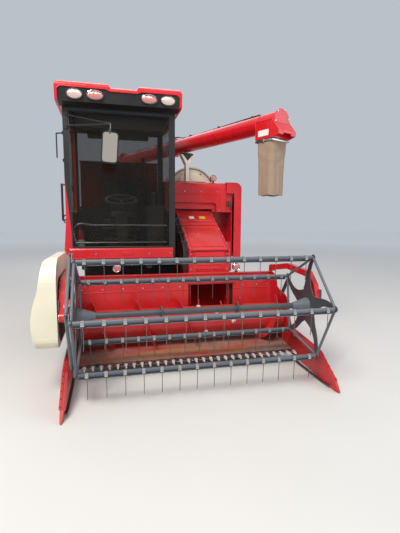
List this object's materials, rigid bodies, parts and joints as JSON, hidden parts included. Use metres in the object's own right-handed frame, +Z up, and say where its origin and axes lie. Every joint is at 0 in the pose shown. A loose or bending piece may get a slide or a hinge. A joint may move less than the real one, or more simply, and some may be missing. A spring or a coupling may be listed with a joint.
{
  "type": "crawler combine harvester",
  "caption": "Tracked grain combine with a tined reel, screw header, side feeder, glazed cab, grain tank and a swinging unloading boom.",
  "frame": {"origin": "middle of the machine's outline, on the ground under the tracks", "axes": "+Z up, -Y forward (towards the reel), +X to the machine's left; header and cab in front, boom stowed across"},
  "size_m": [2.608, 5.0363, 2.92],
  "materials": {
    "red_paint": "gloss paint",
    "cream_paint": "satin paint",
    "dark_paint": "satin paint",
    "reel_steel": "grey paint, worn",
    "bare_steel": "worn steel",
    "track_rubber": "rubber",
    "black_plastic": "grained",
    "tinted_glass": "tinted",
    "lamp_lens": "lens",
    "seat_cloth": "cloth",
    "canvas": "canvas",
    "cast_iron": "cast, oily"
  },
  "bodies": {
    "root": {"chassis_frame": "dark_paint", "gearbox": "cast_iron", "track_left": "track_rubber", "track_right": "track_rubber", "track_beams": "dark_paint", "track_wheels": "bare_steel", "thresher": "red_paint", "thresher_hood": "red_paint", "drum_cover": "cream_paint", "side_shield": "red_paint", "straw_hood": "red_paint", "grain_tank": "red_paint", "grain_elevator": "red_paint", "engine_block": "cast_iron", "engine_bay": "dark_paint", "fuel_tank": "black_plastic", "exhaust": "dark_paint", "steps": "dark_paint", "unloader_base": "red_paint", "boom_rest": "cream_paint", "cab_frame": "dark_paint", "cab_roof": "red_paint", "lamp_fascia": "black_plastic", "lamps": "lamp_lens", "front_panel": "red_paint", "cab_glass": "tinted_glass", "cab_seat": "seat_cloth", "cab_console": "black_plastic", "extinguisher": "red_paint", "cab_mirrors": "dark_paint"},
    "cab_door": {"door_frame": "red_paint", "door_glass": "tinted_glass"},
    "engine_screen": {"screen_door": "red_paint"},
    "header": {"header_pan": "red_paint", "side_plates": "red_paint", "dividers": "red_paint", "knife_bar": "cream_paint", "header_cover": "cream_paint", "header_lamp": "lamp_lens", "feeder_house": "red_paint", "feeder_drive": "bare_steel"},
    "auger": {"header_auger": "red_paint", "auger_flights": "red_paint"},
    "reel_carrier": {"reel_arms": "red_paint"},
    "reel": {"reel_frame": "reel_steel"},
    "eccentric": {"ecc_ring": "reel_steel"},
    "post": {"turning_post": "red_paint"},
    "boom": {"boom_tube": "red_paint", "sleeve": "canvas"},
    "header_cylinder": {"header_barrel": "dark_paint"},
    "header_piston": {"header_rod": "bare_steel"},
    "reel_cylinder": {"reel_barrels": "dark_paint"},
    "reel_piston": {"reel_rods": "bare_steel"},
    "boom_cylinder": {"boom_barrel": "dark_paint"},
    "boom_piston": {"boom_rod": "bare_steel"},
    "bat_1": {"bat_1": "reel_steel"},
    "bat_2": {"bat_2": "reel_steel"},
    "bat_3": {"bat_3": "reel_steel"},
    "bat_4": {"bat_4": "reel_steel"},
    "bat_5": {"bat_5": "reel_steel"}
  },
  "joints": [
    {"name": "header_lift", "type": "hinge", "parent": "root", "child": "header", "pos_m": [0, -0.03181, 1.33], "axis": [-1, 0, 0], "range_deg": [0, 14]},
    {"name": "auger_spin", "type": "hinge", "parent": "header", "child": "auger", "pos_m": [0, -1.28181, 0.415], "axis": [1, 0, 0], "continuous": true},
    {"name": "reel_lift", "type": "hinge", "parent": "header", "child": "reel_carrier", "pos_m": [0, -0.98381, 0.935], "axis": [-1, 0, 0], "range_deg": [0, 18]},
    {"name": "reel_spin", "type": "hinge", "parent": "reel_carrier", "child": "reel", "pos_m": [0, -2.02181, 0.7], "axis": [1, 0, 0], "continuous": true},
    {"name": "eccentric_spin", "type": "hinge", "parent": "reel_carrier", "child": "eccentric", "pos_m": [0, -1.99181, 0.75], "axis": [1, 0, 0], "continuous": true},
    {"name": "bat_1_turn", "type": "hinge", "parent": "reel", "child": "bat_1", "pos_m": [0, -2.4912, 0.76597], "axis": [1, 0, 0], "continuous": true},
    {"name": "bat_2_turn", "type": "hinge", "parent": "reel", "child": "bat_2", "pos_m": [0, -2.10412, 1.1668], "axis": [1, 0, 0], "continuous": true},
    {"name": "bat_3_turn", "type": "hinge", "parent": "reel", "child": "bat_3", "pos_m": [0, -1.60329, 0.92253], "axis": [1, 0, 0], "continuous": true},
    {"name": "bat_4_turn", "type": "hinge", "parent": "reel", "child": "bat_4", "pos_m": [0, -1.68084, 0.37073], "axis": [1, 0, 0], "continuous": true},
    {"name": "bat_5_turn", "type": "hinge", "parent": "reel", "child": "bat_5", "pos_m": [0, -2.2296, 0.27397], "axis": [1, 0, 0], "continuous": true},
    {"name": "boom_swing", "type": "hinge", "parent": "root", "child": "post", "pos_m": [-0.468, 2.08819, 1.96], "axis": [0, 0, 1], "range_deg": [0, 200]},
    {"name": "boom_lift", "type": "hinge", "parent": "post", "child": "boom", "pos_m": [-0.37577, 1.88296, 2.676], "axis": [-0.9121, -0.4099, 0], "range_deg": [0, 28]},
    {"name": "door_hinge", "type": "hinge", "parent": "root", "child": "cab_door", "pos_m": [-1.126, 0.04219, 1.9], "axis": [0, 0, -1], "range_deg": [0, 85]},
    {"name": "screen_hinge", "type": "hinge", "parent": "root", "child": "engine_screen", "pos_m": [-1.052, 1.01819, 1.1], "axis": [0, 0, -1], "range_deg": [0, 100]},
    {"name": "header_barrel_turn", "type": "hinge", "parent": "root", "child": "header_cylinder", "pos_m": [-0.2, -0.29681, 0.48], "axis": [1, 0, 0], "range_deg": [-8.78, 0]},
    {"name": "header_rod_slide", "type": "slide", "parent": "header_cylinder", "child": "header_piston", "axis": [0, -0.8802, 0.4747], "range_m": [0, 0.21371]},
    {"name": "reel_barrel_turn", "type": "hinge", "parent": "header", "child": "reel_cylinder", "pos_m": [0, -1.21181, 0.59], "axis": [1, 0, 0], "range_deg": [-12.18, 0]},
    {"name": "reel_rod_slide", "type": "slide", "parent": "reel_cylinder", "child": "reel_piston", "axis": [0, -0.5793, 0.8151], "range_m": [0, 0.11764]},
    {"name": "boom_barrel_turn", "type": "hinge", "parent": "post", "child": "boom_cylinder", "pos_m": [-0.41266, 1.96505, 2.33], "axis": [-0.9121, -0.4099, 0], "range_deg": [0, 17.28]},
    {"name": "boom_rod_slide", "type": "slide", "parent": "boom_cylinder", "child": "boom_piston", "axis": [0.4021, -0.8948, 0.1939], "range_m": [0, 0.14656]}
  ],
  "couplings": [
    {"joint": "header_barrel_turn", "follows": "header_lift", "ratio": -0.61517},
    {"joint": "header_rod_slide", "follows": "header_lift", "m_per_rad": 0.85749},
    {"joint": "reel_barrel_turn", "follows": "reel_lift", "ratio": -0.66366},
    {"joint": "reel_rod_slide", "follows": "reel_lift", "m_per_rad": 0.3671},
    {"joint": "boom_barrel_turn", "follows": "boom_lift", "ratio": 0.60513},
    {"joint": "boom_rod_slide", "follows": "boom_lift", "m_per_rad": 0.29401},
    {"joint": "eccentric_spin", "follows": "reel_spin", "ratio": 1},
    {"joint": "bat_1_turn", "follows": "reel_spin", "ratio": -1},
    {"joint": "bat_2_turn", "follows": "reel_spin", "ratio": -1},
    {"joint": "bat_3_turn", "follows": "reel_spin", "ratio": -1},
    {"joint": "bat_4_turn", "follows": "reel_spin", "ratio": -1},
    {"joint": "bat_5_turn", "follows": "reel_spin", "ratio": -1}
  ]
}
